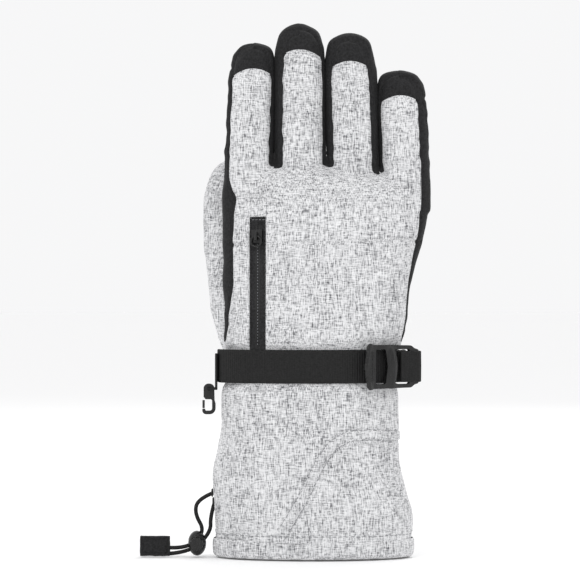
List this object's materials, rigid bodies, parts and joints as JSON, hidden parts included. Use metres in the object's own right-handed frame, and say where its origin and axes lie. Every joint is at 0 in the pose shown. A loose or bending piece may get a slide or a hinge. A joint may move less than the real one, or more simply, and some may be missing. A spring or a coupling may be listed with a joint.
{
  "type": "ski glove",
  "caption": "Right-hand insulated ski glove with heather shell back, black leather palm, long gauntlet, back pocket zip, wrist strap, hem drawcord and snap clip.",
  "frame": {"origin": "centre of the hand opening, in the plane of the hem", "axes": "+Z from the hand opening to the fingertips, -Y the back of the hand, -X the thumb side"},
  "size_m": [0.1713, 0.0802, 0.318],
  "materials": {
    "heather_shell": "woven heather",
    "black_softshell": "matt stretch weave",
    "palm_leather": "soft grain",
    "insulation": "padding",
    "fleece_lining": "brushed",
    "webbing": "ribbed webbing",
    "zip_tape": "matt coated",
    "zip_coil": "satin",
    "black_plastic": "gloss",
    "cord": "braided",
    "label": "satin tape"
  },
  "bodies": {
    "shell": {"gauntlet_back_panel": "heather_shell", "gauntlet_palm_panel": "heather_shell", "gauntlet_insulation": "insulation", "gauntlet_lining": "fleece_lining", "hem_binding": "heather_shell", "hand_back_panel": "heather_shell", "side_gussets": "black_softshell", "palm_panel": "palm_leather", "back_insulation": "insulation", "palm_insulation": "insulation", "hand_lining": "fleece_lining", "wrist_strap": "webbing", "zip_tape": "zip_tape", "zip_coil": "zip_coil", "zip_garage": "zip_tape", "clip_tab": "webbing", "drawcord_outer": "cord", "drawcord_inner": "cord", "cord_eyelets": "black_plastic", "cord_lock_body": "black_plastic", "pull_tab": "cord", "cuff_label": "label"},
    "index_finger": {"index_back_panel": "heather_shell", "index_palm_panel": "palm_leather", "index_side_strips": "black_softshell", "index_tip_cap": "black_softshell", "index_insulation": "insulation", "index_lining": "fleece_lining"},
    "middle_finger": {"middle_back_panel": "heather_shell", "middle_palm_panel": "palm_leather", "middle_side_strips": "black_softshell", "middle_tip_cap": "black_softshell", "middle_insulation": "insulation", "middle_lining": "fleece_lining"},
    "ring_finger": {"ring_back_panel": "heather_shell", "ring_palm_panel": "palm_leather", "ring_side_strips": "black_softshell", "ring_tip_cap": "black_softshell", "ring_insulation": "insulation", "ring_lining": "fleece_lining"},
    "little_finger": {"little_back_panel": "heather_shell", "little_palm_panel": "palm_leather", "little_side_strips": "black_softshell", "little_tip_cap": "black_softshell", "little_insulation": "insulation", "little_lining": "fleece_lining"},
    "thumb": {"thumb_back_panel": "heather_shell", "thumb_palm_panel": "palm_leather", "thumb_side_strips": "black_softshell", "thumb_tip_cap": "black_softshell", "thumb_insulation": "insulation", "thumb_lining": "fleece_lining"},
    "slider": {"zip_slider": "black_plastic"},
    "puller": {"zip_puller": "black_plastic"},
    "buckle": {"buckle_frame": "black_plastic", "buckle_loop": "webbing"},
    "hook": {"clip_hook": "black_plastic"},
    "gate": {"clip_gate": "black_plastic"},
    "plunger": {"cord_lock_plunger": "black_plastic"}
  },
  "joints": [
    {"name": "index_flex", "type": "hinge", "parent": "shell", "child": "index_finger", "pos_m": [-0.0406, 0, 0.228], "axis": [-1, 0, 0], "range_deg": [0, 38], "stiffness_Nm_per_rad": 0.06},
    {"name": "middle_flex", "type": "hinge", "parent": "shell", "child": "middle_finger", "pos_m": [-0.0092, 0, 0.231], "axis": [-1, 0, 0], "range_deg": [0, 45], "stiffness_Nm_per_rad": 0.06},
    {"name": "ring_flex", "type": "hinge", "parent": "shell", "child": "ring_finger", "pos_m": [0.0226, 0, 0.229], "axis": [-1, 0, 0], "range_deg": [0, 45], "stiffness_Nm_per_rad": 0.06},
    {"name": "little_flex", "type": "hinge", "parent": "shell", "child": "little_finger", "pos_m": [0.052, 0, 0.22], "axis": [-1, 0, 0], "range_deg": [0, 45], "stiffness_Nm_per_rad": 0.06},
    {"name": "thumb_flex", "type": "hinge", "parent": "shell", "child": "thumb", "pos_m": [-0.041, 0.017, 0.148], "axis": [-0.7071, 0.7071, 0], "range_deg": [0, 15], "stiffness_Nm_per_rad": 0.08},
    {"name": "zip_slide", "type": "slide", "parent": "shell", "child": "slider", "axis": [0, -0.0454, -0.999], "range_m": [0, 0.054]},
    {"name": "puller_swing", "type": "hinge", "parent": "slider", "child": "puller", "pos_m": [-0.03621, -0.01969, 0.19202], "axis": [-0.9492, 0.3142, -0.0143], "range_deg": [0, 85]},
    {"name": "buckle_tilt", "type": "hinge", "parent": "shell", "child": "buckle", "pos_m": [0.05975, -0.00842, 0.1145], "axis": [0, 0, 1], "range_deg": [0, 30]},
    {"name": "hook_swing", "type": "hinge", "parent": "shell", "child": "hook", "pos_m": [-0.0646, -0.003, 0.1009], "axis": [0, 1, 0], "range_deg": [0, 80]},
    {"name": "gate_press", "type": "hinge", "parent": "hook", "child": "gate", "pos_m": [-0.0678, -0.003, 0.0936], "axis": [0, -1, 0], "range_deg": [0, 25], "stiffness_Nm_per_rad": 0.002},
    {"name": "plunger_press", "type": "slide", "parent": "shell", "child": "plunger", "axis": [0, 1, 0], "range_m": [0, 0.0013], "stiffness_N_per_m": 600}
  ]
}
